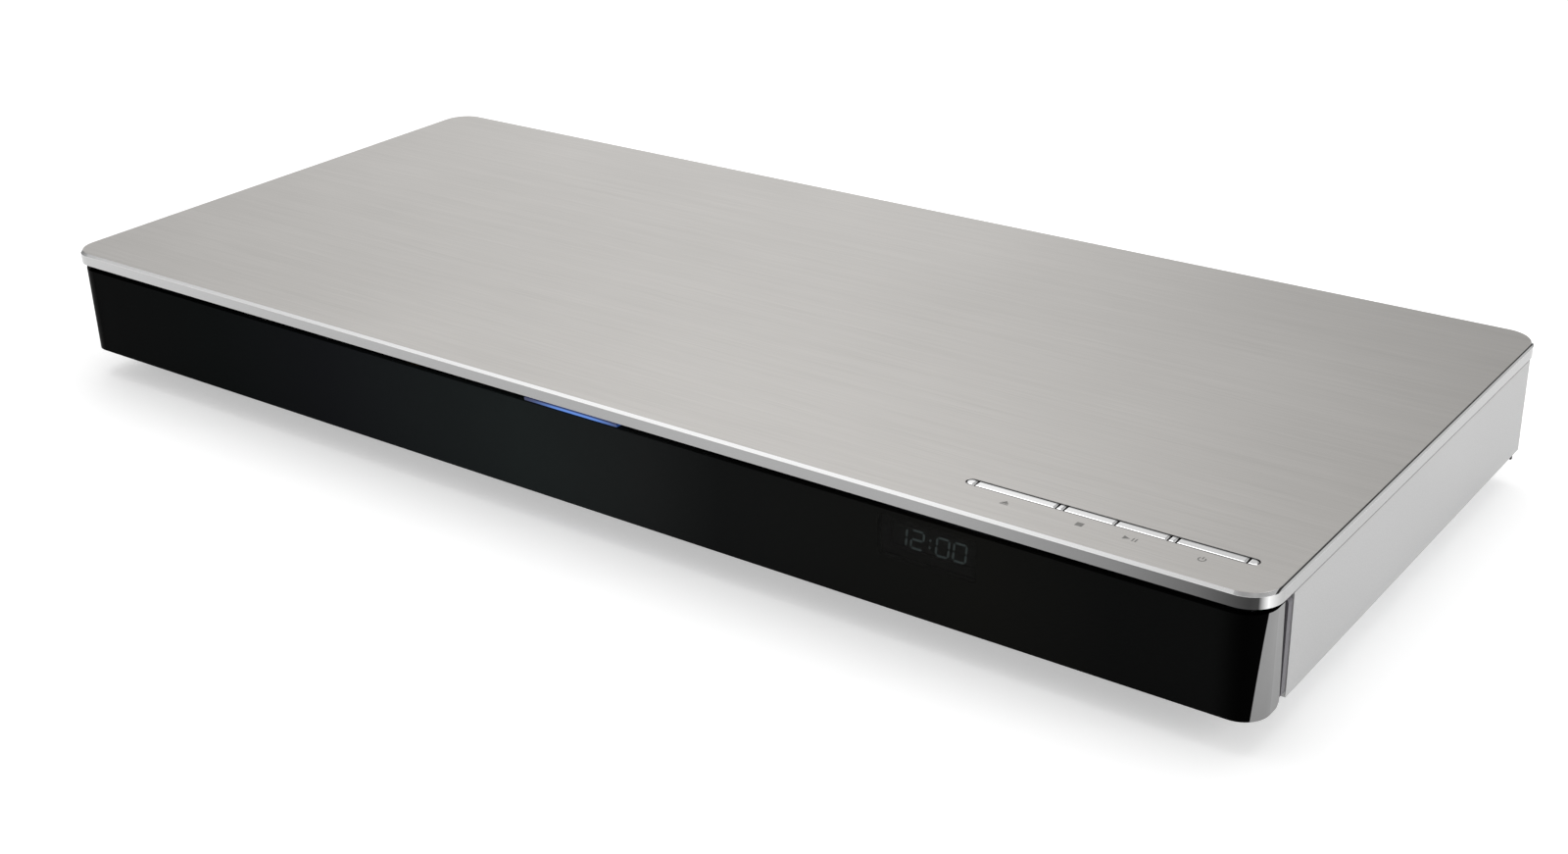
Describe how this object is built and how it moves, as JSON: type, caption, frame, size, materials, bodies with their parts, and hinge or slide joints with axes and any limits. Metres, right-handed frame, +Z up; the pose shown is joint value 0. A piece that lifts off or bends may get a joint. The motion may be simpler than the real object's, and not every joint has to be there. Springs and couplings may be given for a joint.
{
  "type": "disc player",
  "caption": "Slim disc player with a brushed cover, a drop-down gloss front flap, a motor-driven disc tray and bar buttons along the top.",
  "frame": {"origin": "middle of the footprint, on the floor under the feet", "axes": "+X to the right seen from the front, +Y to the back, +Z up"},
  "size_m": [0.415, 0.182, 0.043],
  "materials": {
    "brushed_cover": "brushed along the width",
    "silver_sheet": "smooth silver paint",
    "black_sheet": "textured black paint",
    "zinc_sheet": "zinc plated",
    "foot_rubber": "matt",
    "gloss_black": "high gloss",
    "steel": "bright",
    "black_plastic": "fine texture",
    "clear_guide": "light pipe",
    "display_glass": "smoked window",
    "circuit_board": "solder mask",
    "power_circuit_board": "paper laminate",
    "dark_lens": "infra-red window",
    "tinned_steel": "tinned",
    "polished_trim": "polished",
    "polished_button": "polished",
    "grey_plastic": "moulded",
    "white_nylon": "moulded",
    "brass": "turned",
    "belt_rubber": "matt",
    "cast_metal": "die cast",
    "lens_glass": "coated",
    "chip_resin": "moulded resin",
    "fin_aluminium": "extruded",
    "ferrite": "core and tape",
    "can_aluminium": "sleeved can",
    "ribbon": "flat ribbon",
    "black_screw": "black screws"
  },
  "bodies": {
    "chassis": {"ac_inlet": "black_plastic", "av_jacks": "black_plastic", "board_chips": "chip_resin", "board_screws": "steel", "bottom_chassis": "zinc_sheet", "button_bezel": "polished_trim", "button_board": "circuit_board", "button_switches": "tinned_steel", "capacitors": "can_aluminium", "clamp_bridge": "zinc_sheet", "cover_screws": "black_screw", "display_module": "display_glass", "drive_frame": "grey_plastic", "drive_screws": "steel", "feet": "foot_rubber", "flap_pins": "steel", "flex_cables": "ribbon", "front_board": "circuit_board", "front_frame": "black_plastic", "front_usb_socket": "tinned_steel", "hdmi_socket": "tinned_steel", "heat_sink": "fin_aluminium", "lan_socket": "tinned_steel", "light_guide": "clear_guide", "loading_belt": "belt_rubber", "loading_motor": "tinned_steel", "main_board": "circuit_board", "optical_socket": "black_plastic", "power_board": "power_circuit_board", "rear_panel": "black_sheet", "remote_sensor": "dark_lens", "sd_card_slot": "tinned_steel", "side_panel_left": "silver_sheet", "side_panel_right": "silver_sheet", "top_plate": "brushed_cover", "transformer": "ferrite"},
    "tray": {"disc_tray": "black_plastic"},
    "flap": {"front_flap": "gloss_black"},
    "tray_gear": {"tray_gear": "white_nylon"},
    "pulley_gear": {"pulley_gear": "white_nylon"},
    "motor_pulley": {"motor_pulley": "brass"},
    "traverse": {"traverse_base": "zinc_sheet", "guide_rods": "steel", "spindle_motor": "tinned_steel", "sled_motor": "tinned_steel"},
    "spindle": {"turntable": "grey_plastic"},
    "clamper": {"clamper": "white_nylon"},
    "pickup": {"pickup_sled": "cast_metal", "objective_lens": "lens_glass"},
    "lead_screw": {"lead_screw": "steel"},
    "button_open_close": {"button_open_close": "polished_button"},
    "button_stop": {"button_stop": "polished_button"},
    "button_play": {"button_play": "polished_button"},
    "button_power": {"button_power": "polished_button"}
  },
  "joints": [
    {"name": "tray_slide", "type": "slide", "parent": "chassis", "child": "tray", "axis": [0, -1, 0], "range_m": [0, 0.128]},
    {"name": "flap_hinge", "type": "hinge", "parent": "chassis", "child": "flap", "pos_m": [0, -0.0805, 0.0121], "axis": [1, 0, 0], "range_deg": [0, 90]},
    {"name": "tray_gear_spin", "type": "hinge", "parent": "chassis", "child": "tray_gear", "pos_m": [-0.142, -0.058, 0.028], "axis": [0, 0, 1], "range_deg": [0, 917]},
    {"name": "pulley_gear_spin", "type": "hinge", "parent": "chassis", "child": "pulley_gear", "pos_m": [-0.1228, -0.058, 0.025], "axis": [0, 0, 1], "range_deg": [-2751, 0]},
    {"name": "motor_pulley_spin", "type": "hinge", "parent": "chassis", "child": "motor_pulley", "pos_m": [-0.0868, -0.058, 0.022], "axis": [0, 0, 1], "range_deg": [-8463, 0]},
    {"name": "traverse_tilt", "type": "hinge", "parent": "chassis", "child": "traverse", "pos_m": [-0.105, 0.073, 0.0246], "axis": [1, 0, 0], "range_deg": [0, 3]},
    {"name": "spindle_spin", "type": "hinge", "parent": "traverse", "child": "spindle", "pos_m": [-0.105, -0.002, 0.03], "axis": [0, 0, 1], "continuous": true},
    {"name": "clamper_spin", "type": "hinge", "parent": "chassis", "child": "clamper", "pos_m": [-0.105, -0.002, 0.039], "axis": [0, 0, 1], "continuous": true},
    {"name": "pickup_slide", "type": "slide", "parent": "traverse", "child": "pickup", "axis": [0, 1, 0], "range_m": [0, 0.035]},
    {"name": "lead_screw_spin", "type": "hinge", "parent": "traverse", "child": "lead_screw", "pos_m": [-0.068, 0.02, 0.021], "axis": [0, 1, 0], "range_deg": [0, 4201]},
    {"name": "button_open_close_press", "type": "slide", "parent": "chassis", "child": "button_open_close", "axis": [0, 0, -1], "range_m": [0, 0.0004], "stiffness_N_per_m": 2000, "springref_m": -0.0001},
    {"name": "button_stop_press", "type": "slide", "parent": "chassis", "child": "button_stop", "axis": [0, 0, -1], "range_m": [0, 0.0004], "stiffness_N_per_m": 2000, "springref_m": -0.0001},
    {"name": "button_play_press", "type": "slide", "parent": "chassis", "child": "button_play", "axis": [0, 0, -1], "range_m": [0, 0.0004], "stiffness_N_per_m": 2000, "springref_m": -0.0001},
    {"name": "button_power_press", "type": "slide", "parent": "chassis", "child": "button_power", "axis": [0, 0, -1], "range_m": [0, 0.0004], "stiffness_N_per_m": 2000, "springref_m": -0.0001}
  ],
  "couplings": [
    {"joint": "flap_hinge", "follows": "tray_slide", "rad_per_m": 12.271},
    {"joint": "tray_gear_spin", "follows": "tray_slide", "rad_per_m": 125},
    {"joint": "pulley_gear_spin", "follows": "tray_slide", "rad_per_m": -375},
    {"joint": "motor_pulley_spin", "follows": "tray_slide", "rad_per_m": -1153.8},
    {"joint": "traverse_tilt", "follows": "tray_slide", "rad_per_m": 0.409},
    {"joint": "clamper_spin", "follows": "spindle_spin", "ratio": 1},
    {"joint": "lead_screw_spin", "follows": "pickup_slide", "rad_per_m": 2094.4}
  ]
}
